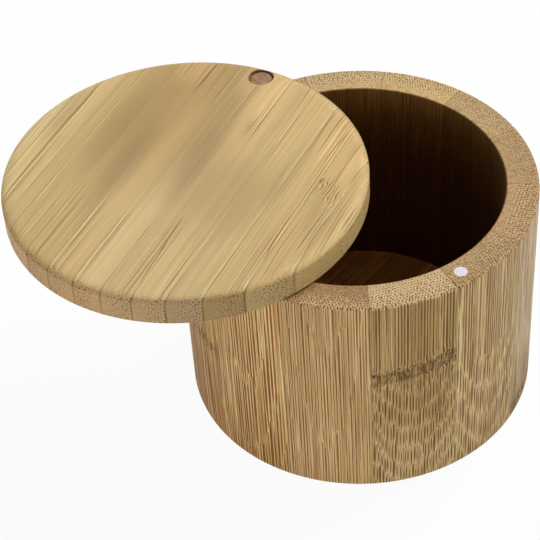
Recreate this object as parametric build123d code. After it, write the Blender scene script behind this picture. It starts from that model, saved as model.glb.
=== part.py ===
from build123d import *
import math
import os

# Salt box of laminated bamboo. The body is a ring of glued staves, turned outside and bored inside,
# with a floor let in from below. A flat lid swivels on an upright dowel until two magnets meet.
# Sizes are in millimetres and degrees. The origin is the centre of the foot and +Z is up. The dowel
# stands towards +Y and the magnets meet towards -Y. The lid is at rest part of a turn open.

# Body ring
body_diameter = 89.0
body_height = 62.2
wall_thickness = 8.1
stave_count = 13
first_stave_angle = -94.9  # where the first stave starts, just clockwise of the magnet
rim_outer_round = 0.8
rim_inner_round = 0.5
foot_round = 1.0

# Floor, glued up from strips and let into a rebate under the ring
floor_thickness = 4.8
floor_rebate_depth = 3.0
floor_strip_count = 9
floor_grain_angle = 17.0

# Lid, glued up from strips that stand on edge
lid_thickness = 7.4
lid_top_round_width = 3.0  # the top edge is eased in an oval, wider than it is high
lid_top_round_height = 1.5
lid_bottom_round = 0.5
lid_running_gap = 0.25  # between the rim and the underside of the lid
lid_open_angle = 61.5  # how far the lid is swung clockwise from closed when at rest
lid_grain_angle = -89.0  # with the lid closed, so close to the line from the dowel to the magnet
lid_strip_count = 12
lid_first_strip_share = 1.13  # width of the two outermost strips, against 1 for all the others
lid_last_strip_share = 0.72

# Pivot dowel, glued in the ring at the middle of its wall
dowel_diameter = 6.2
dowel_depth_in_ring = 20.0
dowel_recess = 0.8  # from the lid's top face down to the dowel's end
dowel_end_chamfer = 0.4
pivot_clearance = 0.1  # on the radius, between the dowel and the lid's hole
pivot_hole_chamfer = 0.3

# Magnets, each flush with the face it is let into
magnet_diameter = 3.2
magnet_thickness = 3.0

# A turned edge is rounded by a few short flats: how many make the lid's broad edge and the small ones
broad_round_flat_count = 6
small_round_flat_count = 3

body_radius = body_diameter / 2
bore_radius = body_radius - wall_thickness
floor_radius = bore_radius + floor_rebate_depth
pivot_offset = body_radius - wall_thickness / 2
lid_underside = body_height + lid_running_gap
lid_top = lid_underside + lid_thickness
dowel_foot = body_height - dowel_depth_in_ring
dowel_end = lid_top - dowel_recess
pivot_axis = Axis((0, pivot_offset, 0), (0, 0, 1))


def upright_cylinder(radius, low, high, y=0.0):
    """A cylinder about a vertical axis, between two heights."""
    cylinder = Cylinder(radius, high - low, align=(Align.CENTER, Align.CENTER, Align.MIN))
    return Pos(0, y, low) * cylinder


def rounded_corner(centre_x, centre_z, width, height, first_angle, flats):
    """Points of a quarter turn about a centre, anticlockwise from an angle, round or oval."""
    angles = [math.radians(first_angle + 90 * step / flats) for step in range(flats + 1)]
    return [(centre_x + width * math.cos(a), centre_z + height * math.sin(a)) for a in angles]


def turned(profile):
    """A half section in the XZ plane, turned about the Z axis."""
    return revolve(Plane.XZ * make_face(Polyline(*profile, close=True)), Axis.Z)


def single_solid(shape):
    """The one solid that a cut piece is."""
    return shape.solids()[0]


# Glued-up blanks, turned and bored before they are told apart into staves and strips


def ring_blank():
    """The turned ring, with its rebate for the floor and its bores for the dowel and the magnet."""
    foot = rounded_corner(
        body_radius - foot_round,
        foot_round,
        foot_round,
        foot_round,
        -90,
        small_round_flat_count,
    )
    rim_outside = rounded_corner(
        body_radius - rim_outer_round,
        body_height - rim_outer_round,
        rim_outer_round,
        rim_outer_round,
        0,
        small_round_flat_count,
    )
    rim_inside = rounded_corner(
        bore_radius + rim_inner_round,
        body_height - rim_inner_round,
        rim_inner_round,
        rim_inner_round,
        90,
        small_round_flat_count,
    )
    rebate = [(bore_radius, floor_thickness), (floor_radius, floor_thickness), (floor_radius, 0)]
    ring = turned(foot + rim_outside + rim_inside + rebate)
    ring -= upright_cylinder(dowel_diameter / 2, dowel_foot, body_height, y=pivot_offset)
    ring -= upright_cylinder(
        magnet_diameter / 2, body_height - magnet_thickness, body_height, y=-pivot_offset
    )
    return ring


def floor_blank():
    """The floor disc, which fills the rebate and closes the bore."""
    return upright_cylinder(floor_radius, 0, floor_thickness)


def lid_blank():
    """The turned lid as it lies when closed, with its pivot hole and its magnet pocket."""
    bottom_edge = rounded_corner(
        body_radius - lid_bottom_round,
        lid_underside + lid_bottom_round,
        lid_bottom_round,
        lid_bottom_round,
        -90,
        small_round_flat_count,
    )
    top_edge = rounded_corner(
        body_radius - lid_top_round_width,
        lid_top - lid_top_round_height,
        lid_top_round_width,
        lid_top_round_height,
        0,
        broad_round_flat_count,
    )
    lid = turned([(0, lid_underside)] + bottom_edge + top_edge + [(0, lid_top)])
    hole_radius = dowel_diameter / 2 + pivot_clearance
    lid -= upright_cylinder(hole_radius, lid_underside, lid_top, y=pivot_offset)
    mouth = Cone(
        hole_radius,
        hole_radius + pivot_hole_chamfer,
        pivot_hole_chamfer,
        align=(Align.CENTER, Align.CENTER, Align.MAX),
    )
    lid -= Pos(0, pivot_offset, lid_top) * mouth
    lid -= upright_cylinder(
        magnet_diameter / 2, lid_underside, lid_underside + magnet_thickness, y=-pivot_offset
    )
    return lid


# Staves and strips


def stave(blank, index):
    """One stave: the wedge of the ring between two joint planes through the axis."""
    span = 360 / stave_count
    start = math.radians(first_stave_angle + index * span)
    end = math.radians(first_stave_angle + (index + 1) * span)
    reach = 2 * body_radius
    near_joint = (reach * math.cos(start), reach * math.sin(start))
    far_joint = (reach * math.cos(end), reach * math.sin(end))
    wedge = extrude(make_face(Polyline((0, 0), near_joint, far_joint, close=True)), body_height)
    return single_solid(blank & wedge)


def strip(blank, grain_angle, low, high):
    """The part of a disc between two joint planes that run along the grain."""
    reach = 4 * body_radius
    slab = Box(reach, high - low, reach, align=(Align.CENTER, Align.MIN, Align.CENTER))
    return single_solid(blank & (Rot(0, 0, grain_angle) * Pos(0, low, 0) * slab))


def spaced(low, high, count):
    """Joints that share out the span from low to high evenly, both ends included."""
    return [low + (high - low) * index / count for index in range(count + 1)]


def floor_strips():
    """The floor's strips, all of one width."""
    joints = spaced(-floor_radius, floor_radius, floor_strip_count)
    blank = floor_blank()
    return [strip(blank, floor_grain_angle, low, high) for low, high in zip(joints, joints[1:])]


def lid_strips():
    """The lid's strips where they lie when closed, even but for the two outermost."""
    even_count = lid_strip_count - 2
    strip_width = body_diameter / (even_count + lid_first_strip_share + lid_last_strip_share)
    first_joint = lid_first_strip_share * strip_width - body_radius
    last_joint = body_radius - lid_last_strip_share * strip_width
    joints = [-body_radius, *spaced(first_joint, last_joint, even_count), body_radius]
    blank = lid_blank()
    return [strip(blank, lid_grain_angle, low, high) for low, high in zip(joints, joints[1:])]


# Dowel and magnets


def pivot_dowel():
    """The dowel, from the foot of its bore to just below the lid's top face."""
    dowel = upright_cylinder(dowel_diameter / 2, dowel_foot, dowel_end, y=pivot_offset)
    return chamfer(dowel.faces().sort_by(Axis.Z)[-1].edges(), dowel_end_chamfer)


def magnet(low):
    """A magnet disc on the far side of the ring from the dowel."""
    return upright_cylinder(magnet_diameter / 2, low, low + magnet_thickness, y=-pivot_offset)


def swung_open(closed_piece):
    """A piece of the lid, swung about the dowel from closed to its place at rest."""
    return closed_piece.rotate(pivot_axis, -lid_open_angle)


pieces = {}

turned_ring = ring_blank()
for index in range(stave_count):
    pieces[f"stave_{index + 1:02d}"] = stave(turned_ring, index)
for index, piece in enumerate(floor_strips()):
    pieces[f"floor_strip_{index + 1:02d}"] = piece
for index, piece in enumerate(lid_strips()):
    pieces[f"lid_strip_{index + 1:02d}"] = swung_open(piece)
pieces["pivot_dowel"] = pivot_dowel()
pieces["rim_magnet"] = magnet(body_height - magnet_thickness)
pieces["lid_magnet"] = swung_open(magnet(lid_underside))

os.makedirs("parts", exist_ok=True)
for name, piece in pieces.items():
    export_step(piece, f"parts/{name}.step")
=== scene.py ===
import math

import bpy
from mathutils import Matrix, Vector

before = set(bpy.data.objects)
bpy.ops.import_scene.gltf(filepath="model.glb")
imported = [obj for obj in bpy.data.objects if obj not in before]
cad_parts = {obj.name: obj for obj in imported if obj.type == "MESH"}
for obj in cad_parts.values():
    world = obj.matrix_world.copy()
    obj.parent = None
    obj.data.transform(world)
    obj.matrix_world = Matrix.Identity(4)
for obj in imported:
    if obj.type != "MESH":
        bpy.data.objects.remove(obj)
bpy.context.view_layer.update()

toMillimetres = 1000.0   # grain is worked out in mm, the scene is in metres
upright = (0.0, 0.0, 1.0)
untinted = (1.0, 1.0, 1.0)
white = (1.0, 1.0, 1.0, 1.0)


def plug(tree, socket, value):
    if isinstance(value, bpy.types.NodeSocket):
        tree.links.new(value, socket)
    else:
        socket.default_value = value


def addNode(tree, kind, wires=None, **settings):
    node = tree.nodes.new(kind)
    for name, value in settings.items():
        setattr(node, name, value)
    for key, value in (wires or {}).items():
        plug(tree, node.inputs[key], value)
    return node


def calc(tree, operation, *values):
    return addNode(tree, "ShaderNodeMath", dict(enumerate(values)), operation=operation).outputs[0]


def times(tree, *values):
    product = values[0]
    for value in values[1:]:
        product = calc(tree, "MULTIPLY", product, value)
    return product


def timesPlus(tree, value, factor, extra):
    return calc(tree, "MULTIPLY_ADD", value, factor, extra)


def apart(tree, value, other):
    return calc(tree, "ABSOLUTE", calc(tree, "SUBTRACT", value, other))


def distance(tree, sideways, lengthways):
    squares = calc(tree, "ADD", calc(tree, "POWER", sideways, 2.0), calc(tree, "POWER", lengthways, 2.0))
    return calc(tree, "SQRT", squares)


def ramp(tree, value, low, high, atLow=0.0, atHigh=1.0):
    wires = {"Value": value, "From Min": low, "From Max": high, "To Min": atLow, "To Max": atHigh}
    return addNode(tree, "ShaderNodeMapRange", wires, interpolation_type="SMOOTHSTEP").outputs[0]


def band(tree, value, riseFrom, riseTo, fallFrom, fallTo):
    return times(tree, ramp(tree, value, riseFrom, riseTo), ramp(tree, value, fallFrom, fallTo, 1.0, 0.0))


def tint(tree, amount, under, over, blend="MIX"):
    # this node's colours go into slots 6 and 7 and come out of slot 2
    wires = {0: amount, 6: under, 7: over}
    return addNode(tree, "ShaderNodeMix", wires, data_type="RGBA", blend_type=blend).outputs[2]


def vector(tree, x, y, z):
    return addNode(tree, "ShaderNodeCombineXYZ", {"X": x, "Y": y, "Z": z}).outputs[0]


def along(tree, place, axis):
    node = addNode(tree, "ShaderNodeVectorMath", {0: place, 1: axis}, operation="DOT_PRODUCT")
    return node.outputs["Value"]


def scaled(tree, place, x, y, z):
    return addNode(tree, "ShaderNodeVectorMath", {0: place, 1: (x, y, z)}, operation="MULTIPLY").outputs[0]


def noise(tree, place, scale=1.0, detail=1.0, roughness=0.5):
    wires = {"Vector": place, "Scale": scale, "Detail": detail, "Roughness": roughness}
    return addNode(tree, "ShaderNodeTexNoise", wires).outputs["Fac"]


def centred(tree, wave):
    return calc(tree, "SUBTRACT", wave, 0.5)


def screenColour(red, green, blue, alpha=1.0):
    # 0-255 as picked on a screen, to the linear values a shader takes
    def linear(value):
        value /= 255.0
        return value / 12.92 if value <= 0.04045 else ((value + 0.055) / 1.055) ** 2.4
    return (linear(red), linear(green), linear(blue), alpha)


# bamboo is full of stiff dark bundles: dots on an end cut, lines or spindles on a side cut
bamboo = {
    "rowPitch": 1.05,          # mm from one row of bundles to the next, pith to skin
    "besidePitch": 0.89,       # mm between bundles in a row
    "crowding": 0.9,           # rows draw together under the skin
    "bundleRadius": 0.2, "radiusSpread": 0.1, "leastRadius": 0.01,
    "bundleDepth": 1.05,       # pith to skin, in radii, before the stretch under the skin
    "markSpread": (71.0, 53.0),                  # gives each bundle a place of its own in the noise
    "slowSwell": 0.06, "quickSwell": 0.25,       # waves per mm along the fibres
    "endCalm": 0.85,           # the share of the swelling that an end cut loses
    "cornerShift": 0.6,        # on a rounded edge the dots keep to the skin side
    "fewestDots": 0.1, "fewestLines": 0.15,      # their share on the pith side
    "hiddenMarks": (0.15, 0.55), "boldLine": 1.15,   # some bundles hide on a side cut, others stand out
    "haloBand": (1.1, 1.5, 1.7, 2.6), "haloShow": 0.42, "faceHalo": 0.12,
    "crookSize": 3.2,          # mm that the knuckle strays along the cane
    "knuckleCurl": 1.3,
    "veinWander": 0.7, "veinsPerMm": 2.4, "veinAcross": 0.15, "veinAlong": 0.007,
    "veinSkin": 0.95, "fewestVeins": 0.2, "paleVeinShow": 0.7,
    "strokePitch": 0.8, "strokeCurl": 0.3, "paleStrokeShow": 0.5,
    "blotchShow": 0.75,
    # the pale mark beside each pit is a painted highlight, shifted this way from the pit
    "pitScale": (0.8, 0.8, 0.62), "pitSize": 0.08, "pitSpread": 0.22, "highlightShift": (-0.16, 0.0, 0.2),
    "glueCore": 0.02, "glueReach": 0.2, "endGlueReach": 0.08,      # mm from the joint
    "fibreBand": (0.16, 0.32, 0.5, 0.85),
    "roughness": 0.5, "fineRoughness": 0.2, "bundleRoughness": 0.1,
    "fineRelief": 0.5, "bundleSink": 0.7, "pitSink": 2.5,
    "endFacing": (0.12, 0.6),  # how squarely a face cuts the fibres, from side cut to end cut
    "mostTint": 2,             # larger values than this are read as screen colours
    "bump": 0.55, "bumpHeight": 0.00007, "shine": 0.28,
    "dotColour": screenColour(98, 64, 34), "haloColour": screenColour(242, 218, 162),
    "veinColour": screenColour(150, 108, 60), "strokeColour": screenColour(148, 100, 54),
    "glueColour": screenColour(80, 52, 26), "sideGlueColour": screenColour(140, 106, 60),
    "knuckleColour": screenColour(100, 68, 24), "pitColour": screenColour(58, 34, 16),
    "shades": {"stain": (0.62, 0.48, 0.30, 1.0), "fine": (0.64, 0.54, 0.40, 1.0),
               "streak": (0.60, 0.48, 0.32, 1.0)},
    # noise in the wood: waves per mm across, in depth and along the fibres, then detail and roughness
    "waves": {
        "crook": (0.4, 0.4, 0.0, 2.0, 0.5), "drift": (0.05, 0.05, 0.022, 1.0, 0.5),
        "curl": (0.6, 0.6, 0.3, 1.0, 0.5), "knot": (1.6, 1.6, 0.3, 0.0, 0.5),
        "pink": (0.75, 0.55, 0.012, 1.0, 0.5), "green": (0.78, 1.04, 0.0208, 1.0, 0.5),
        "fine": (5.0, 5.0, 0.09, 2.0, 0.65), "streak": (1.9, 1.9, 0.022, 2.0, 0.6),
        "stain": (0.85, 0.85, 0.02, 1.0, 0.6), "wiggle": (0.2, 0.2, 0.06, 1.0, 0.5),
        "bunch": (0.3, 0.3, 0.03, 1.0, 0.5), "strokePatch": (0.9, 0.9, 0.4, 1.0, 0.5),
        "blotch": (1.5, 1.5, 0.5, 3.0, 0.65), "glueWaver": (0.15, 0.15, 0.12, 1.0, 0.5),
    },
    # from where to where each pattern comes in, then its share at both ends if that is not 0 and 1
    "edges": {
        "nearBand": (1.0, 2.9, 1.0, 0.0), "wideBand": (2.0, 6.0, 1.0, 0.0),     # mm from the knuckle
        "strokeBand": (1.8, 4.2, 1.0, 0.0), "scarBand": (2.0, 3.6, 1.0, 0.0),
        "knot": (0.4, 0.6, 0.0, 0.9), "bundle": (0.6, 1.35, 1.0, 0.0),
        "pink": (0.46, 0.7), "green": (0.5, 0.72), "stain": (0.5, 0.68), "fine": (0.35, 0.75, 0.0, 0.8),
        "streak": (0.45, 0.72), "paleStreak": (0.46, 0.3, 0.0, 0.8), "skinEnd": (0.3, 0.9),
        "bunch": (0.4, 0.6, 0.1, 1.0), "paleVein": (0.46, 0.36), "darkVein": (0.56, 0.64),
        "strokePatch": (0.32, 0.54, 0.2, 1.0), "paleStroke": (0.0, -0.9), "darkStroke": (0.3, 0.95),
        "blotch": (0.38, 0.62, 0.15, 1.0), "pit": (-0.1, 0.06, 1.0, 0.0), "pitHighlight": (0.14, 0.34, 0.45, 0.0),
        "glueWaver": (0.35, 0.65, 0.35, 1.0), "skinFibre": (0.45, 0.6),
    },
}

grainNumbers = (
    "Glue Gap", "Glue Show", "Glue Pale", "End Cut", "Pith Side", "Skin Side", "Lean", "Scatter",
    "Dot Show", "Dot From", "Dot To", "Dot Stretch", "Line Show", "Line From", "Line To", "Line Width",
    "Line Depth", "Line Keep", "Vein Show", "Vein From", "Slant", "Slant From", "Long Swell", "Short Swell",
    "Fineness", "Sway", "Streak", "Stain", "Patch", "Knuckle At", "Knuckle Tilt", "Knuckle Lean",
    "Knuckle Show", "Knuckle Dark", "Knuckle Stroke",
)
grainColours = ("Pale", "Pink", "Green", "Line Colour", "End Tint", "Skin Tint")


def growBamboo():
    tree = bpy.data.node_groups.new("bambooGrain", "ShaderNodeTree")

    def addSockets(way, kind, *names):
        for name in names:
            tree.interface.new_socket(name, in_out=way, socket_type=kind)

    addSockets("INPUT", "NodeSocketVector", "Cut")   # across, depth and length in mm
    addSockets("INPUT", "NodeSocketFloat", *grainNumbers)
    addSockets("INPUT", "NodeSocketColor", *grainColours)
    addSockets("OUTPUT", "NodeSocketColor", "Colour")
    addSockets("OUTPUT", "NodeSocketFloat", "Roughness", "Height")
    given = tree.nodes.new("NodeGroupInput").outputs
    result = tree.nodes.new("NodeGroupOutput").inputs

    def wave(name):
        x, y, z, detail, roughness = bamboo["waves"][name]
        return noise(tree, scaled(tree, given["Cut"], x, y, z), detail=detail, roughness=roughness)

    def edge(name, value):
        return ramp(tree, value, *bamboo["edges"][name])

    endCut = given["End Cut"]
    faceCut = calc(tree, "SUBTRACT", 1.0, endCut)
    across, depth, length = addNode(tree, "ShaderNodeSeparateXYZ", {0: given["Cut"]}).outputs

    # how far out from the pith, before the fibres wander
    span = calc(tree, "SUBTRACT", given["Skin Side"], given["Pith Side"])
    skin = calc(tree, "DIVIDE", calc(tree, "SUBTRACT", depth, given["Pith Side"]), span)
    skin = calc(tree, "MINIMUM", calc(tree, "MAXIMUM", skin, 0.0), 1.0)

    # the knuckle of the cane, a crooked band across the fibres
    level = timesPlus(tree, across, given["Knuckle Tilt"], given["Knuckle At"])
    level = timesPlus(tree, skin, given["Knuckle Lean"], level)
    level = timesPlus(tree, centred(tree, wave("crook")), bamboo["crookSize"], level)
    offBand = apart(tree, length, level)
    nearBand = times(tree, edge("nearBand", offBand), given["Knuckle Show"])
    wideBand = times(tree, edge("wideBand", offBand), given["Knuckle Show"])

    # fibres wander a little along their length, more at the knuckle, and may run out at a slant
    curl = centred(tree, wave("curl"))
    wander = timesPlus(tree, centred(tree, wave("drift")), given["Sway"],
                       times(tree, curl, wideBand, bamboo["knuckleCurl"]))
    across = calc(tree, "ADD", across, wander)
    bentDepth = calc(tree, "ADD", depth, wander)
    runOut = calc(tree, "MINIMUM", calc(tree, "SUBTRACT", length, given["Slant From"]), 0.0)
    depth = timesPlus(tree, runOut, given["Slant"], bentDepth)

    # the lattice of bundles
    fineness = given["Fineness"]
    row = timesPlus(tree, depth, 1.0 / bamboo["rowPitch"], times(tree, skin, skin, bamboo["crowding"]))
    row = times(tree, row, fineness)
    column = timesPlus(tree, times(tree, across, fineness), 1.0 / bamboo["besidePitch"],
                       times(tree, row, given["Lean"]))
    lattice = vector(tree, column, row, 0.0)
    cells = addNode(tree, "ShaderNodeTexVoronoi",
                    {"Vector": lattice, "Scale": 1.0, "Randomness": given["Scatter"]},
                    voronoi_dimensions="2D", feature="F1").outputs
    away = addNode(tree, "ShaderNodeVectorMath", {0: lattice, 1: cells["Position"]}, operation="SUBTRACT")
    gap = addNode(tree, "ShaderNodeSeparateXYZ", {0: away.outputs[0]}).outputs
    straight = calc(tree, "SUBTRACT", gap[0], times(tree, gap[1], given["Lean"]))
    sideGap = times(tree, straight, bamboo["besidePitch"])
    rowGap = times(tree, gap[1], bamboo["rowPitch"])

    # each bundle swells and thins on its own along the cane
    mark = addNode(tree, "ShaderNodeSeparateColor", {0: cells["Color"]}).outputs
    markX, markY = [times(tree, mark[k], spread) for k, spread in enumerate(bamboo["markSpread"])]
    slow = noise(tree, vector(tree, markX, markY, times(tree, length, bamboo["slowSwell"])))
    quick = noise(tree, vector(tree, markY, markX, times(tree, length, bamboo["quickSwell"])), detail=0.0)
    swell = timesPlus(tree, centred(tree, quick), given["Short Swell"],
                      times(tree, centred(tree, slow), given["Long Swell"]))
    swell = timesPlus(tree, swell, timesPlus(tree, endCut, -bamboo["endCalm"], 1.0), 1.0)
    swell = timesPlus(tree, edge("knot", wave("knot")), nearBand, swell)
    radius = timesPlus(tree, mark[2], bamboo["radiusSpread"],
                       bamboo["bundleRadius"] - bamboo["radiusSpread"] / 2)
    radius = calc(tree, "MAXIMUM", times(tree, radius, swell), bamboo["leastRadius"])
    longRadius = times(tree, radius, timesPlus(tree, skin, given["Dot Stretch"], bamboo["bundleDepth"]),
                       timesPlus(tree, faceCut, given["Line Depth"], endCut))
    sideRadius = times(tree, radius, timesPlus(tree, faceCut, given["Line Width"], endCut))
    reach = distance(tree, calc(tree, "DIVIDE", sideGap, sideRadius),
                     calc(tree, "DIVIDE", rowGap, longRadius))

    # how strongly the bundles and the pale halo round them show
    dotSkin = timesPlus(tree, faceCut, -bamboo["cornerShift"], skin)
    dots = ramp(tree, dotSkin, given["Dot From"], given["Dot To"], bamboo["fewestDots"], 1.0)
    lines = ramp(tree, skin, given["Line From"], given["Line To"], bamboo["fewestLines"], 1.0)
    bold = ramp(tree, mark[1], *bamboo["hiddenMarks"], given["Line Keep"], bamboo["boldLine"])
    show = calc(tree, "ADD", times(tree, dots, given["Dot Show"], endCut),
                times(tree, lines, given["Line Show"], bold, faceCut))
    bundleShow = calc(tree, "MINIMUM", times(tree, edge("bundle", reach), show), 1.0)
    haloShow = times(tree, band(tree, reach, *bamboo["haloBand"]), show,
                     timesPlus(tree, faceCut, bamboo["faceHalo"], bamboo["haloShow"]))

    # straw, pinkish and greenish lengths of ground between the bundles, wide soft stains and streaks
    fine, streak = wave("fine"), wave("streak")
    pink = times(tree, edge("pink", wave("pink")), given["Patch"])
    green = times(tree, edge("green", wave("green")), given["Patch"])
    ground = tint(tree, green, tint(tree, pink, given["Pale"], given["Pink"]), given["Green"])
    for name, source, amount in (("stain", wave("stain"), "Stain"), ("fine", fine, "Streak"),
                                 ("streak", streak, "Streak")):
        shown = times(tree, edge(name, source), given[amount])
        ground = tint(tree, shown, ground, bamboo["shades"][name], "MULTIPLY")
    paleStreak = times(tree, edge("paleStreak", streak), given["Streak"])
    ground = tint(tree, paleStreak, ground, bamboo["haloColour"])
    ground = tint(tree, endCut, ground, given["End Tint"], "MULTIPLY")
    ground = tint(tree, times(tree, endCut, edge("skinEnd", skin)), ground, given["Skin Tint"], "MULTIPLY")
    haloColour = tint(tree, endCut, bamboo["haloColour"], given["End Tint"], "MULTIPLY")
    ground = tint(tree, haloShow, ground, haloColour)
    colour = tint(tree, bundleShow, ground, tint(tree, endCut, given["Line Colour"], bamboo["dotColour"]))

    # thin long veins on the faces in bunches, brown ones between pale ones
    wiggle = centred(tree, wave("wiggle"))
    veinRow = times(tree, timesPlus(tree, wiggle, bamboo["veinWander"], bentDepth), bamboo["veinsPerMm"])
    vein = noise(tree, vector(tree, times(tree, across, bamboo["veinAcross"]), veinRow,
                              times(tree, length, bamboo["veinAlong"])))
    veinSkin = ramp(tree, skin, given["Vein From"], bamboo["veinSkin"], bamboo["fewestVeins"], 1.0)
    veinShow = times(tree, veinSkin, edge("bunch", wave("bunch")), given["Vein Show"], faceCut)
    paleVein = times(tree, edge("paleVein", vein), veinShow, bamboo["paleVeinShow"])
    colour = tint(tree, paleVein, colour, bamboo["haloColour"])
    colour = tint(tree, times(tree, edge("darkVein", vein), veinShow), colour, bamboo["veinColour"])

    # short wavy strokes where the fibres knot together at the knuckle
    knotDepth = timesPlus(tree, curl, bamboo["strokeCurl"], bentDepth)
    strokes = calc(tree, "SINE", times(tree, knotDepth, math.tau / bamboo["strokePitch"]))
    strokeShow = times(tree, edge("strokeBand", offBand), edge("strokePatch", wave("strokePatch")),
                       given["Knuckle Show"], given["Knuckle Stroke"])
    paleStroke = times(tree, edge("paleStroke", strokes), strokeShow, bamboo["paleStrokeShow"])
    colour = tint(tree, paleStroke, colour, bamboo["haloColour"])
    colour = tint(tree, times(tree, edge("darkStroke", strokes), strokeShow), colour, bamboo["strokeColour"])

    # dark blotches and pits in the knuckle, each pit with a painted highlight beside it
    blotch = edge("blotch", wave("blotch"))
    blotchShow = times(tree, blotch, nearBand, given["Knuckle Dark"], bamboo["blotchShow"])
    colour = tint(tree, blotchShow, colour, bamboo["knuckleColour"])
    pitPlace = scaled(tree, given["Cut"], *bamboo["pitScale"])
    pits = addNode(tree, "ShaderNodeTexVoronoi", {"Vector": pitPlace, "Scale": 1.0}).outputs
    pitMark = addNode(tree, "ShaderNodeSeparateColor", {0: pits["Color"]}).outputs[0]
    highlightPlace = addNode(tree, "ShaderNodeVectorMath", {0: pitPlace, 1: bamboo["highlightShift"]}, operation="ADD")
    pitHighlights = addNode(tree, "ShaderNodeTexVoronoi", {"Vector": highlightPlace.outputs[0], "Scale": 1.0}).outputs
    scar = times(tree, edge("scarBand", offBand), given["Knuckle Show"], given["Knuckle Dark"])
    pitRim = calc(tree, "SUBTRACT", pits["Distance"],
                  timesPlus(tree, pitMark, bamboo["pitSpread"], bamboo["pitSize"]))
    pitShow = times(tree, edge("pit", pitRim), scar)
    colour = tint(tree, times(tree, edge("pitHighlight", pitHighlights["Distance"]), scar), colour, bamboo["haloColour"])
    colour = tint(tree, pitShow, colour, bamboo["pitColour"])

    # the glue line where two pieces meet, with a pale fibre along the skin side of it on the faces
    glueWaver = edge("glueWaver", wave("glueWaver"))
    glueReach = timesPlus(tree, endCut, bamboo["endGlueReach"], bamboo["glueReach"])
    glue = times(tree, ramp(tree, given["Glue Gap"], bamboo["glueCore"], glueReach, 1.0, 0.0), glueWaver,
                 given["Glue Show"])
    paleFibre = times(tree, band(tree, given["Glue Gap"], *bamboo["fibreBand"]), edge("skinFibre", skin),
                      glueWaver, given["Glue Pale"], faceCut)
    colour = tint(tree, paleFibre, colour, bamboo["haloColour"])
    colour = tint(tree, glue, colour, tint(tree, endCut, bamboo["sideGlueColour"], bamboo["glueColour"]))

    rough = timesPlus(tree, fine, bamboo["fineRoughness"], bamboo["roughness"])
    height = timesPlus(tree, bundleShow, -bamboo["bundleSink"], times(tree, fine, bamboo["fineRelief"]))
    height = calc(tree, "SUBTRACT", height, times(tree, pitShow, bamboo["pitSink"]))
    plug(tree, result["Colour"], colour)
    plug(tree, result["Roughness"], timesPlus(tree, bundleShow, bamboo["bundleRoughness"], rough))
    plug(tree, result["Height"], calc(tree, "SUBTRACT", height, glue))
    return tree


bambooGrain = growBamboo()
print("bamboo grain grown:", len(bambooGrain.nodes), "nodes")


def startFinish(name):
    finish = bpy.data.materials.new(name)
    finish.use_nodes = True
    finish.node_tree.nodes.clear()
    return finish, finish.node_tree


def endFinish(tree, shader, kind="ShaderNodeOutputMaterial"):
    plug(tree, tree.nodes.new(kind).inputs[0], shader.outputs[0])


def coat(tree, piece, colour, roughness, relief):
    bump = addNode(tree, "ShaderNodeBump",
                   {"Strength": piece["bump"], "Distance": piece["bumpHeight"], "Height": relief})
    surface = addNode(tree, "ShaderNodeBsdfPrincipled",
                      {"Base Color": colour, "Roughness": roughness, "Normal": bump.outputs[0],
                       "Specular IOR Level": piece["shine"], "Metallic": piece.get("metallic", 0.0)})
    endFinish(tree, surface)


def dress(nodeName, finish):
    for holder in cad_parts[nodeName].material_slots:
        holder.material = finish


def bambooFinish(name, axes, glueGapFrom, grain, tones, shade, seed):
    # axes run across the fibres, from pith to skin, and along the fibres
    finish, tree = startFinish(name)
    place = tree.nodes.new("ShaderNodeTexCoord").outputs
    across, depth, length = [along(tree, place["Object"], Vector(axis) * toMillimetres) for axis in axes]
    facing = calc(tree, "ABSOLUTE", along(tree, place["Normal"], Vector(axes[2])))
    group = addNode(tree, "ShaderNodeGroup", node_tree=bambooGrain)
    wires = {"Cut": vector(tree, across, depth, calc(tree, "ADD", length, seed)),
             "Glue Gap": glueGapFrom(tree, across, depth),
             "End Cut": ramp(tree, facing, *bamboo["endFacing"])}
    wires.update(grain)
    for key in ("Knuckle At", "Slant From"):
        wires[key] = grain[key] + seed
    for key, value in tones.items():
        wires[key] = screenColour(*value) if max(value) > bamboo["mostTint"] else value + (1.0,)
    for key, value in wires.items():
        if callable(value):
            value = value(tree, depth, length)
        plug(tree, group.inputs[key], value)
    colour = shade(tree, group.outputs["Colour"], across, depth, length)
    coat(tree, bamboo, colour, group.outputs["Roughness"], group.outputs["Height"])
    return finish


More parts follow.
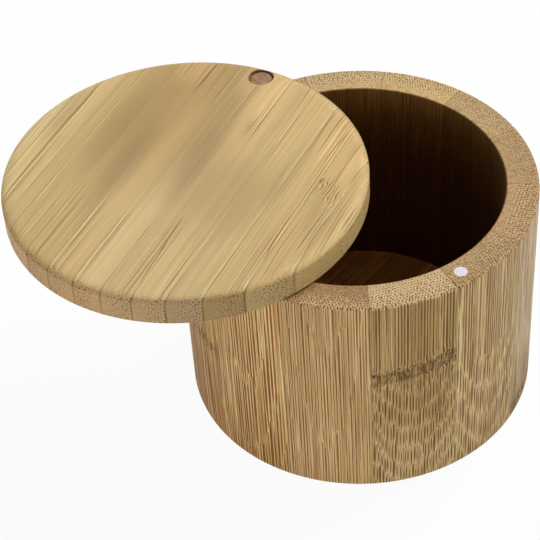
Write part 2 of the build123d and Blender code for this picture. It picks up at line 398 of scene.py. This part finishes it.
# one entry a stave, starting at the magnet and going anticlockwise, or by the stave's number
ring = {
    "count": 13, "firstAngle": -94.9, "bore": 36.4, "outside": 44.5, "height": 62.2,
    "seedStep": 170.0,   # mm along the fibres from one stave's grain to the next one's
    "pale": [(206, 176, 124), (202, 174, 132), (206, 172, 124), (208, 176, 126), (214, 182, 128),
             (208, 176, 122), (212, 180, 126), (208, 172, 118), (212, 178, 124), (211, 168, 111),
             (207, 168, 112), (192, 158, 110), (188, 160, 106)],
    "pink": [(196, 158, 112), (196, 158, 116)] + [(196, 152, 110)] * 7 + [
             (190, 141, 89), (188, 143, 92), (180, 142, 98), (178, 140, 94)],
    "green": [(182, 158, 106)] * 9 + [(188, 148, 94), (190, 150, 98), (182, 156, 102), (182, 156, 104)],
    "line": [(136, 92, 52), (150, 110, 70)] + [(140, 100, 60)] * 7 + [
             (138, 82, 35), (132, 80, 36), (130, 89, 41), (122, 84, 34)],
    "sideTone": {1: (0.97, 0.98, 0.95), 2: (0.97, 1.04, 1.17), 10: (0.95, 0.9, 0.79),
                 11: (1.12, 1.13, 1.08), 12: (0.96, 0.9, 0.84), 13: (0.73, 0.67, 0.53)},
    # towards the foot
    "lowTone": {1: (0.86, 0.84, 0.8), 2: (0.69, 0.59, 0.46), 10: (0.98, 0.91, 0.79),
                11: (0.86, 0.79, 0.65), 12: (1.2, 1.25, 1.33), 13: (1.25, 1.34, 1.68)},
    "endTint": [(0.86, 0.80, 0.76), (0.92, 0.83, 0.74), (0.81, 0.78, 0.72), (0.90, 0.87, 0.85),
                (1.03, 1.04, 1.0), (1.06, 1.08, 1.1), (0.98, 0.94, 0.92), (1.0, 0.96, 0.92),
                (1.0, 0.96, 0.92), (1.0, 1.0, 1.0), (1.0, 1.0, 1.0), (0.76, 0.67, 0.63),
                (1.28, 1.26, 1.44)],
    "skinTint": {12: (1.62, 1.82, 2.0)},
    # how strong the painted shade on the bore is: lower values make these staves' bore darker
    "boreShadeScale": {2: 0.6, 3: 0.5, 4: 0.65, 5: 0.85},
    "dotShow": [0.9, 0.95, 0.8, 0.85, 0.95, 0.95, 0.9, 0.9, 0.9, 0.9, 0.9, 0.9, 0.85],
    "dotFrom": [-0.1, 0.0, 0.1, 0.0, 0.15, 0.0, 0.05, 0.0, 0.15, 0.0, 0.1, 0.3, -0.4],
    "dotRise": 0.3,
    "lean": [0.5, 0.5, -0.5, 0.5, -0.5, 0.5, 0.5, -0.5, 0.5, -0.5, 0.5, -0.5, 0.5],
    "fineness": [1.18, 1.18] + [1.25] * 7 + [0.85, 0.95, 1.18, 1.14],
    "lineWidth": [1.15, 1.1] + [0.9] * 7 + [1.0, 1.0, 0.85, 0.95],
    "lineDepth": [0.9, 1.1] + [1.3] * 8 + [1.2, 1.3, 0.85],
    "lineKeep": [0.6, 0.4] + [0.15] * 8 + [0.35, 0.4, 0.7],
    "streak": [0.9, 0.7] + [0.5] * 7 + [0.95, 0.9, 0.65, 0.6],
    "stain": [0.5] + [0.4] * 8 + [0.8, 0.7, 0.35, 0.45],
    # mm out per mm down, and the height it starts from
    "slant": {13: (0.14, 36.5), 1: (0.09, 36.0), 11: (0.045, 40.0), 12: (0.025, 62.0), 10: (0.015, 62.0)},
    "usualSlant": (0.03, 62.0),
    # height, tilt, show
    "knuckle": {2: (4.2, 0.1, 1.0), 10: (32.0, -0.1, 0.6), 13: (39.4, 0.1, 1.0), 5: (22.0, 0.08, 0.4),
                8: (47.0, -0.1, 0.4)},
    "noKnuckle": (-50.0, 0.0, 0.0),
    # painted shade on the bore face: a dark colour under the rim, darker still further down, fading out just
    # outside the bore
    "upperBoreShade": (0.4, 0.28, 0.12), "deepBoreShade": (0.17, 0.085, 0.05), "deepShadeFrom": 58.0, "deepShadeTo": 40.0,
    "edgeFade": (0.9, 0.3),    # mm inside the outer face and below the rim, where the side's tone ends
    "footFade": (4.0, 26.0),   # mm above the foot
    "boreShadeFade": (0.1, 0.5),    # mm outside the bore
}


def staveGlueGap(tree, across, depth):
    half = math.radians(180.0 / ring["count"])
    inner = times(tree, depth, math.sin(half))
    return timesPlus(tree, calc(tree, "ABSOLUTE", across), -math.cos(half), inner)


def dressStave(number):
    own = {key: value[number - 1] for key, value in ring.items() if isinstance(value, list)}
    middle = math.radians(ring["firstAngle"] + (number - 0.5) * 360.0 / ring["count"])
    axes = ((-math.sin(middle), math.cos(middle), 0.0), (math.cos(middle), math.sin(middle), 0.0), upright)
    height, tilt, show = ring["knuckle"].get(number, ring["noKnuckle"])
    slant, slantFrom = ring["slant"].get(number, ring["usualSlant"])
    sideTone = ring["sideTone"].get(number, untinted)
    lowTone = ring["lowTone"].get(number, untinted)

    def shadeWall(tree, colour, across, depth, length):
        radius = distance(tree, across, depth)
        fadeFrom, fadeTo = ring["edgeFade"]
        outside = times(tree, ramp(tree, radius, ring["outside"] - fadeFrom, ring["outside"] - fadeTo),
                        ramp(tree, length, ring["height"] - fadeFrom, ring["height"] - fadeTo, 1.0, 0.0))
        lowSide = tuple(side * low for side, low in zip(sideTone, lowTone))
        tone = tint(tree, ramp(tree, length, *ring["footFade"]), lowSide + (1.0,), sideTone + (1.0,))
        colour = tint(tree, outside, colour, tone, "MULTIPLY")
        # painted shade inside the bore, darker further below the rim
        fadeFrom, fadeTo = ring["boreShadeFade"]
        inside = ramp(tree, radius, ring["bore"] + fadeFrom, ring["bore"] + fadeTo, 1.0, 0.0)
        deep = ramp(tree, length, ring["deepShadeTo"], ring["deepShadeFrom"], 1.0, 0.0)
        boreShadeScale = ring["boreShadeScale"].get(number, 1.0)
        upper, lower = [tuple(value * boreShadeScale for value in ring[key]) + (1.0,)
                        for key in ("upperBoreShade", "deepBoreShade")]
        return tint(tree, inside, colour, tint(tree, deep, upper, lower), "MULTIPLY")

    grain = {"Pith Side": ring["bore"], "Skin Side": ring["outside"], "Lean": own["lean"], "Scatter": 0.34,
             "Glue Show": 0.6, "Glue Pale": 0.0, "Dot Show": own["dotShow"], "Dot From": own["dotFrom"],
             "Dot To": own["dotFrom"] + ring["dotRise"], "Dot Stretch": 1.3,
             "Line Show": 1.1, "Line From": -0.6, "Line To": 0.5, "Line Width": own["lineWidth"],
             "Line Depth": own["lineDepth"], "Line Keep": own["lineKeep"], "Vein Show": 0.0, "Vein From": 0.0,
             "Slant": slant, "Slant From": slantFrom, "Long Swell": 1.6, "Short Swell": 0.5,
             "Fineness": own["fineness"], "Sway": 0.2, "Streak": own["streak"], "Stain": own["stain"],
             "Patch": 0.8, "Knuckle At": height, "Knuckle Tilt": tilt, "Knuckle Lean": 0.0,
             "Knuckle Show": show, "Knuckle Dark": 1.0, "Knuckle Stroke": 0.3}
    tones = {"Pale": own["pale"], "Pink": own["pink"], "Green": own["green"], "Line Colour": own["line"],
             "End Tint": own["endTint"], "Skin Tint": ring["skinTint"].get(number, untinted)}
    name = f"stave_{number:02d}"
    dress(name, bambooFinish(name, axes, staveGlueGap, grain, tones, shadeWall, number * ring["seedStep"]))


for number in range(1, ring["count"] + 1):
    dressStave(number)
print("staves dressed:", ring["count"])


def stripGlueGap(left, right, midDepth=0.0, skinSide=1.0):
    def gapFrom(tree, across, depth):
        off = apart(tree, depth, midDepth + (left + right) / 2 * skinSide)
        return calc(tree, "SUBTRACT", (right - left) / 2, off)
    return gapFrom


# one entry a strip, from the back left of the open lid to the front right, or by the strip's number;
# offsets run the same way and lengths along the grain towards the pivot, both in mm from the middle
lid = {
    "centre": (-35.55, 21.15), "grainAngle": 29.5, "top": 69.85,
    "seedStep": 230.0,   # mm along the fibres from one strip's grain to the next one's
    "firstJoint": -36.01, "stripWidth": 7.51, "radius": 44.5, "count": 12,
    "skinLeft": 6,   # the first six stand with their skin side to the left, the others to the right
    "pale": [(243, 213, 155), (220, 191, 136), (217, 188, 131), (213, 182, 125), (226, 195, 136),
             (230, 204, 148), (222, 192, 138), (226, 197, 142), (212, 182, 128), (216, 186, 130),
             (214, 181, 124), (218, 188, 128)],
    # painted shade towards the pivot end, a little lighter on a few strips, coming in between the two places
    # named below
    "farShade": [(1.0, 1.0, 1.0), (0.95, 0.94, 0.89), (0.77, 0.72, 0.65), (0.71, 0.66, 0.61),
                (0.71, 0.65, 0.60), (0.65, 0.59, 0.53), (0.92, 0.88, 0.83), (0.93, 0.90, 0.84),
                (1.04, 1.03, 0.97), (1.04, 1.03, 1.0), (1.02, 1.0, 0.96), (1.0, 0.98, 0.97)],
    "farShadeFrom": -26.0, "farShadeTo": 12.0,
    "shadeBlend": 3.6,   # mm either side of a joint, so that the tone makes no step at the joint itself
    "endTint": [(1.05, 0.94, 0.88), (1.02, 0.92, 0.86), (0.98, 0.86, 0.82), (0.87, 0.76, 0.73),
                (0.81, 0.71, 0.69), (0.74, 0.63, 0.58), (0.74, 0.68, 0.66), (0.66, 0.61, 0.59),
                (0.62, 0.61, 0.66), (0.54, 0.50, 0.42), (0.66, 0.67, 0.61), (0.70, 0.70, 0.62)],
    "skinTint": (0.96, 0.94, 0.94),
    "line": (146, 106, 58), "pink": (206, 172, 122), "green": (204, 184, 122),
    # place, lean, show
    "knuckle": {7: (-22.0, 4.0, 0.2), 11: (9.1, -5.0, 1.0), 12: (3.0, -3.0, 0.3), 2: (-2.0, 0.0, 0.2)},
    "noKnuckle": (-90.0, 0.0, 0.0),
    # soft patches of painted shade and painted light: offset, length, reach across, reach along, tone
    "shadeAndLightPatches": [(13.0, -4.0, 16.0, 22.0, 0.79), (-14.8, -6.0, 5.0, 25.0, 0.8), (-7.9, 8.0, 4.8, 23.0, 1.12),
               (1.2, 7.0, 4.8, 25.0, 0.81), (-23.5, 8.0, 4.2, 28.0, 0.85), (-16.5, 39.0, 6.5, 12.0, 1.32),
               (6.2, 35.0, 4.6, 20.0, 1.22), (-38.8, 9.0, 3.2, 16.0, 0.78), (29.3, 23.0, 3.4, 14.0, 1.24),
               (36.6, 17.0, 3.2, 9.0, 1.14), (37.6, -3.0, 4.6, 12.0, 0.87), (23.6, 9.0, 3.4, 18.0, 0.83),
               (33.0, 3.0, 3.4, 11.0, 0.9), (-0.8, 40.0, 3.2, 12.0, 1.3)],
    "shadeAndLightFade": (0.2, 1.05),   # in reaches
    # a spot where the grain marks fade: offset, length, the two reaches, how far the far end leans back, the
    # grain left
    "fadedGrainSpot": (-3.0, 3.4, 27.0, 23.1, -0.32, 0.1),
    "fadedGrainFade": (0.55, 1.25),
    # a strip's own dark strokes: offset and length where each starts, the same where it ends, width
    "strokes": {1: [(-36.3, -23.0, -36.5, 22.0, 0.25)], 7: [(7.2, -14.0, 8.8, -38.0, 0.22)],
                10: [(26.8, 18.0, 26.6, 40.0, 0.2), (31.3, -22.0, 30.3, -4.0, 0.22),
                     (24.4, 16.0, 24.6, 36.0, 0.2), (29.4, 15.8, 30.6, 29.6, 0.18)],
                11: [(33.4, -28.0, 33.0, -4.0, 0.14), (36.6, -16.0, 37.3, 1.5, 0.2),
                     (38.5, -17.5, 38.9, 0.0, 0.2), (38.8, 10.0, 39.0, 18.5, 0.25)],
                12: [(43.1, -5.5, 43.5, 4.5, 0.2)]},
    "strokeColour": screenColour(140, 98, 50), "strokeShow": 0.85, "strokeCore": 0.3,
    "strokeWaver": 0.6, "strokeWaves": 0.1, "strokeSeed": 9.0,
    "strokeTip": (2.0, 5.0),    # mm past its end and mm before it, where a stroke fades
    "topFade": (1.0, 0.2),      # mm below the top face, where the patches end
    "edgeFade": (1.2, 0.4),     # mm inside the turned edge, where the veins end
}


def lidStrip(number):
    joints = [-lid["radius"]] + [lid["firstJoint"] + lid["stripWidth"] * k for k in range(lid["count"] - 1)]
    joints.append(lid["radius"])
    left, right = joints[number - 1:number + 1]
    turn = math.radians(lid["grainAngle"])
    fibre = (math.cos(turn), math.sin(turn), 0.0)
    skinSide = -1.0 if number <= lid["skinLeft"] else 1.0
    outward = (math.sin(turn) * skinSide, -math.cos(turn) * skinSide, 0.0)
    pith, skin = (left, right) if skinSide > 0 else (-right, -left)
    centreX, centreY = lid["centre"]
    midDepth = centreX * outward[0] + centreY * outward[1]
    midLength = centreX * fibre[0] + centreY * fibre[1]

    def blendedShade(tree, depth):
        own, ownPale = lid["farShade"][number - 1] + (1.0,), screenColour(*lid["pale"][number - 1])
        tone = own
        for neighbour, joint in ((number - 1, left), (number + 1, right)):
            if 1 <= neighbour <= lid["count"]:
                other = lid["farShade"][neighbour - 1] + (1.0,)
                otherPale = screenColour(*lid["pale"][neighbour - 1])
                between = tuple((a + b * pb / pa) / 2 for a, b, pa, pb in zip(own, other, ownPale, otherPale))
                off = apart(tree, depth, midDepth + joint * skinSide)
                tone = tint(tree, ramp(tree, off, 0.0, lid["shadeBlend"], 1.0, 0.0), tone, between)
        return tone

    def drawStroke(tree, colour, depth, length, stroke):
        offset, start, endOffset, end, wide = stroke
        slope = (endOffset - offset) / (end - start) * skinSide
        line = timesPlus(tree, length, slope, midDepth + offset * skinSide - slope * (midLength + start))
        place = vector(tree, 0.0, offset * lid["strokeSeed"], times(tree, length, lid["strokeWaves"]))
        line = timesPlus(tree, centred(tree, noise(tree, place, detail=0.0)), lid["strokeWaver"], line)
        first, last = midLength + min(start, end), midLength + max(start, end)
        past, before = lid["strokeTip"]
        core = ramp(tree, apart(tree, depth, line), wide * lid["strokeCore"], wide, lid["strokeShow"], 0.0)
        show = times(tree, core, band(tree, length, first - past, first + before, last - before, last + past))
        return tint(tree, show, colour, lid["strokeColour"])

    def shadeStrip(tree, colour, across, depth, length):
        for stroke in lid["strokes"].get(number, []):
            colour = drawStroke(tree, colour, depth, length, stroke)
        # painted shade towards the pivot end, blended across the joints
        farShadeShare = ramp(tree, length, midLength + lid["farShadeFrom"], midLength + lid["farShadeTo"])
        colour = tint(tree, farShadeShare, colour, blendedShade(tree, depth), "MULTIPLY")
        fadeFrom, fadeTo = lid["topFade"]
        top = ramp(tree, across, lid["top"] - fadeFrom, lid["top"] - fadeTo)
        # patches of painted shade and painted light on the top face
        for offset, place, wide, long, tone in lid["shadeAndLightPatches"]:
            if offset + wide > left and offset - wide < right:
                side = calc(tree, "SUBTRACT", depth, midDepth + offset * skinSide)
                end = calc(tree, "SUBTRACT", length, midLength + place)
                reach = distance(tree, calc(tree, "DIVIDE", side, wide), calc(tree, "DIVIDE", end, long))
                show = times(tree, ramp(tree, reach, *lid["shadeAndLightFade"], 1.0, 0.0), top)
                colour = tint(tree, show, colour, (tone, tone, tone, 1.0), "MULTIPLY")
        return colour

    def fadedGrain(full):
        offset, place, wide, long, lean, kept = lid["fadedGrainSpot"]

        def value(tree, depth, length):
            side = calc(tree, "SUBTRACT", depth, midDepth + offset * skinSide)
            shift = times(tree, side, lean * skinSide)
            end = calc(tree, "SUBTRACT", calc(tree, "SUBTRACT", length, shift), midLength + place)
            sideOff = calc(tree, "DIVIDE", side, wide)
            endOff = calc(tree, "DIVIDE", end, calc(tree, "ADD", shift, long))
            reach = distance(tree, times(tree, sideOff, sideOff), times(tree, endOff, endOff))
            return ramp(tree, reach, *lid["fadedGrainFade"], full * kept, full)
        return value

    def faceOnly(amount):
        def value(tree, depth, length):
            reach = distance(tree, calc(tree, "SUBTRACT", depth, midDepth),
                             calc(tree, "SUBTRACT", length, midLength))
            fadeFrom, fadeTo = lid["edgeFade"]
            face = ramp(tree, reach, lid["radius"] - fadeFrom, lid["radius"] - fadeTo, 1.0, 0.0)
            return times(tree, amount(tree, depth, length), face)
        return value

    # the two outermost strips have no joint at the turned edge, so theirs is put well outside
    low = left - lid["stripWidth"] if number == 1 else left
    high = right + lid["stripWidth"] if number == lid["count"] else right
    at, lean, show = lid["knuckle"].get(number, lid["noKnuckle"])
    grain = {"Pith Side": midDepth + pith, "Skin Side": midDepth + skin, "Lean": 0.5 if number % 2 else -0.5,
             "Scatter": 0.7, "Glue Show": fadedGrain(0.8), "Glue Pale": fadedGrain(0.6),
             "Dot Show": 0.85, "Dot From": -0.15, "Dot To": 0.6, "Dot Stretch": 0.4,
             "Line Show": fadedGrain(0.6), "Line From": 0.35, "Line To": 1.05, "Line Width": 1.3,
             "Line Depth": 0.4, "Line Keep": 0.15, "Vein Show": faceOnly(fadedGrain(0.8)), "Vein From": 0.0,
             "Slant": 0.012, "Slant From": midLength + 60.0, "Long Swell": 2.0, "Short Swell": 0.3,
             "Fineness": 1.35, "Sway": 1.0, "Streak": fadedGrain(0.22), "Stain": 0.06, "Patch": 0.35,
             "Knuckle At": midLength + at, "Knuckle Tilt": 0.0, "Knuckle Lean": lean, "Knuckle Show": show,
             "Knuckle Dark": 0.1, "Knuckle Stroke": 1.0}
    tones = {"Pale": lid["pale"][number - 1], "Pink": lid["pink"], "Green": lid["green"],
             "Line Colour": lid["line"], "End Tint": lid["endTint"][number - 1], "Skin Tint": lid["skinTint"]}
    name = f"lid_strip_{number:02d}"
    gapFrom = stripGlueGap(low, high, midDepth, skinSide)
    dress(name, bambooFinish(name, (upright, outward, fibre), gapFrom, grain, tones, shadeStrip,
                             number * lid["seedStep"]))


for number in range(1, lid["count"] + 1):
    lidStrip(number)
print("lid strips dressed:", lid["count"])


floorDisc = {
    "radius": 39.4, "count": 9, "grainAngle": 17.0, "top": 4.8, "seedStep": 310.0,
    "pale": (200, 164, 108), "pink": (186, 146, 98), "green": (182, 152, 92), "line": (110, 64, 28),
    "endTint": (0.9, 0.85, 0.8), "insideTint": (1.5, 1.05, 0.55, 1.0),
    "topFade": (0.6, 0.2),   # mm below the top face, where the inside tint ends
}


def floorStrip(number):
    width = 2 * floorDisc["radius"] / floorDisc["count"]
    left = -floorDisc["radius"] + (number - 1) * width
    turn = math.radians(floorDisc["grainAngle"])
    fibre = (math.cos(turn), math.sin(turn), 0.0)
    outward = (math.sin(turn), -math.cos(turn), 0.0)

    def shadeTop(tree, colour, across, depth, length):
        fadeFrom, fadeTo = floorDisc["topFade"]
        upper = ramp(tree, across, floorDisc["top"] - fadeFrom, floorDisc["top"] - fadeTo)
        return tint(tree, upper, colour, floorDisc["insideTint"], "MULTIPLY")

    grain = {"Pith Side": left, "Skin Side": left + width, "Lean": 0.5, "Scatter": 0.6,
             "Glue Show": 0.7, "Glue Pale": 0.4, "Dot Show": 0.8, "Dot From": 0.0, "Dot To": 0.6,
             "Dot Stretch": 1.0, "Line Show": 0.8, "Line From": 0.1, "Line To": 0.8, "Line Width": 1.2,
             "Line Depth": 0.8, "Line Keep": 0.3, "Vein Show": 0.5, "Vein From": -0.2,
             "Slant": 0.02, "Slant From": 60.0, "Long Swell": 2.0, "Short Swell": 0.6,
             "Fineness": 1.1, "Sway": 1.0, "Streak": 1.0, "Stain": 1.0, "Patch": 0.8,
             "Knuckle At": -90.0, "Knuckle Tilt": 0.0, "Knuckle Lean": 0.0, "Knuckle Show": 0.0,
             "Knuckle Dark": 0.0, "Knuckle Stroke": 0.0}
    tones = {"Pale": floorDisc["pale"], "Pink": floorDisc["pink"], "Green": floorDisc["green"],
             "Line Colour": floorDisc["line"], "End Tint": floorDisc["endTint"], "Skin Tint": untinted}
    name = f"floor_strip_{number:02d}"
    dress(name, bambooFinish(name, (upright, outward, fibre), stripGlueGap(left, left + width), grain, tones,
                             shadeTop, number * floorDisc["seedStep"]))


for number in range(1, floorDisc["count"] + 1):
    floorStrip(number)
print("floor strips dressed:", floorDisc["count"])


dowel = {
    "endColour": screenColour(166, 134, 97), "darkColour": screenColour(122, 88, 57),
    "grain": 900.0, "grainDetail": 3.0, "grainRoughness": 0.7,   # waves per metre
    "cloudGrain": 270.0, "cloudDetail": 2.0,
    "squash": 0.1,             # the grain is drawn out down the pin
    "speckleShare": 0.6, "cloudShare": 0.4, "mottle": (0.38, 0.66),
    "roughness": 0.5, "speckleRoughness": 0.2, "bump": 0.4, "bumpHeight": 0.00008, "shine": 0.35,
}


def dowelFinish():
    finish, tree = startFinish("dowelEnd")
    place = tree.nodes.new("ShaderNodeTexCoord").outputs["Object"]
    squashed = scaled(tree, place, 1.0, 1.0, dowel["squash"])
    speckle = noise(tree, squashed, dowel["grain"], dowel["grainDetail"], dowel["grainRoughness"])
    cloud = noise(tree, squashed, dowel["cloudGrain"], dowel["cloudDetail"])
    mottle = timesPlus(tree, speckle, dowel["speckleShare"], times(tree, cloud, dowel["cloudShare"]))
    colour = tint(tree, ramp(tree, mottle, *dowel["mottle"]), dowel["endColour"], dowel["darkColour"])
    roughness = timesPlus(tree, speckle, dowel["speckleRoughness"], dowel["roughness"])
    coat(tree, dowel, colour, roughness, speckle)
    return finish


magnetPair = {
    "plateColour": screenColour(214, 208, 214), "stainColour": screenColour(198, 194, 200),
    "stainGrain": 500.0, "stain": (0.5, 0.7, 0.0, 0.25),
    "scratches": 2600.0, "scratchDetail": 2.0, "scratchStretch": 0.25,
    "roughness": 0.15, "rubRoughness": 0.1, "metallic": 1.0, "bump": 0.2, "bumpHeight": 0.00003, "shine": 0.5,
}


def magnetFinish():
    finish, tree = startFinish("magnetPlate")
    place = tree.nodes.new("ShaderNodeTexCoord").outputs["Object"]
    stretched = scaled(tree, place, 1.0, magnetPair["scratchStretch"], 1.0)
    rub = noise(tree, stretched, magnetPair["scratches"], magnetPair["scratchDetail"])
    stain = ramp(tree, noise(tree, place, magnetPair["stainGrain"]), *magnetPair["stain"])
    colour = tint(tree, stain, magnetPair["plateColour"], magnetPair["stainColour"])
    roughness = timesPlus(tree, rub, magnetPair["rubRoughness"], magnetPair["roughness"])
    coat(tree, magnetPair, colour, roughness, rub)
    return finish


dress("pivot_dowel", dowelFinish())
plate = magnetFinish()
dress("rim_magnet", plate)
dress("lid_magnet", plate)
print("dowel and magnets dressed")


studio = {
    "whiteShare": 0.95,        # how much of the table's white is its own, the rest takes light and shadow
    "tableColour": (0.95, 0.95, 0.95, 1.0),
    "ambient": 0.16,
    "tableRadius": 3.0,
    "tableSides": 96,
    "openingRadius": 0.0425,   # an opening hidden under the box lets some light reach its underside
    "tableDrop": 0.00005,      # keeps the table off the face that the box stands on
}


def putInScene(name, data):
    holder = bpy.data.objects.new(name, data)
    bpy.context.scene.collection.objects.link(holder)
    return holder


def seenDirectly(tree):
    rays = tree.nodes.new("ShaderNodeLightPath").outputs
    mirrored = calc(tree, "MAXIMUM", rays["Is Glossy Ray"], rays["Is Transmission Ray"])
    return calc(tree, "MAXIMUM", rays["Is Camera Ray"], mirrored)


def tableFinish():
    # white above, and clear from below so that the underside of the box can be seen
    finish, tree = startFinish("studioTable")
    cloth = addNode(tree, "ShaderNodeBsdfDiffuse", {"Color": studio["tableColour"]})
    ownWhite = addNode(tree, "ShaderNodeEmission", {"Color": white, "Strength": 1.0})
    share = times(tree, seenDirectly(tree), studio["whiteShare"])
    topSide = addNode(tree, "ShaderNodeMixShader", {0: share, 1: cloth.outputs[0], 2: ownWhite.outputs[0]})
    clear = addNode(tree, "ShaderNodeBsdfTransparent", {"Color": white})
    lowSide = tree.nodes.new("ShaderNodeNewGeometry").outputs["Backfacing"]
    oneSided = addNode(tree, "ShaderNodeMixShader", {0: lowSide, 1: topSide.outputs[0], 2: clear.outputs[0]})
    endFinish(tree, oneSided)
    return finish


def layTable():
    corners = []
    for side in range(studio["tableSides"]):
        turn = math.tau * side / studio["tableSides"]
        for radius in (studio["openingRadius"], studio["tableRadius"]):
            corners.append((radius * math.cos(turn), radius * math.sin(turn), -studio["tableDrop"]))
    count = len(corners)
    faces = [(k, k + 1, (k + 3) % count, (k + 2) % count) for k in range(0, count, 2)]
    sheet = bpy.data.meshes.new("studioTable")
    sheet.from_pydata(corners, [], faces)
    sheet.materials.append(tableFinish())
    putInScene("studioTable", sheet)


def lightRoom():
    room = bpy.data.worlds.new("studioRoom")
    bpy.context.scene.world = room
    room.use_nodes = True
    tree = room.node_tree
    tree.nodes.clear()
    strength = timesPlus(tree, seenDirectly(tree), 1.0 - studio["ambient"], studio["ambient"])
    sky = addNode(tree, "ShaderNodeBackground", {"Color": white, "Strength": strength})
    endFinish(tree, sky, "ShaderNodeOutputWorld")


softboxes = {
    "frontBox": {"place": (-1.12, -1.10, 0.13), "aim": (0.0, 0.0, 0.06), "size": (2.8, 0.24), "power": 14.5},
    "topBox": {"place": (0.62, 0.10, 0.88), "aim": (-0.01, 0.01, 0.06), "size": (0.5, 0.5), "power": 10.2},
}


def hangSoftbox(name, box):
    lamp = bpy.data.lights.new(name, "AREA")
    lamp.shape = "RECTANGLE"
    lamp.size, lamp.size_y = box["size"]
    lamp.energy = box["power"]
    holder = putInScene(name, lamp)
    holder.location = box["place"]
    holder.rotation_euler = (Vector(box["aim"]) - Vector(box["place"])).to_track_quat("-Z", "Y").to_euler()


layTable()
lightRoom()
for name, box in softboxes.items():
    hangSoftbox(name, box)
print("studio lit:", ", ".join(softboxes))


viewpoint = {
    "place": (-0.19557225, -0.27240365, 0.35256715),
    "right": (0.82152063, -0.56782502, -0.05175529),
    "up": (0.42320925, 0.54641959, 0.72271679),
    "lens": 120.80, "sensor": 36.0, "nearest": 0.01, "farthest": 20.0,
}


def placeCamera():
    shot = bpy.data.cameras.new("viewpoint")
    shot.sensor_width, shot.lens = viewpoint["sensor"], viewpoint["lens"]
    shot.clip_start, shot.clip_end = viewpoint["nearest"], viewpoint["farthest"]
    right, up = Vector(viewpoint["right"]).normalized(), Vector(viewpoint["up"]).normalized()
    back = right.cross(up).normalized()
    turn = Matrix((right, back.cross(right), back)).transposed().to_4x4()
    holder = putInScene("viewpoint", shot)
    holder.matrix_world = Matrix.Translation(viewpoint["place"]) @ turn
    bpy.context.scene.camera = holder


placeCamera()
bpy.context.scene.view_settings.view_transform = "Standard"
print("camera set")
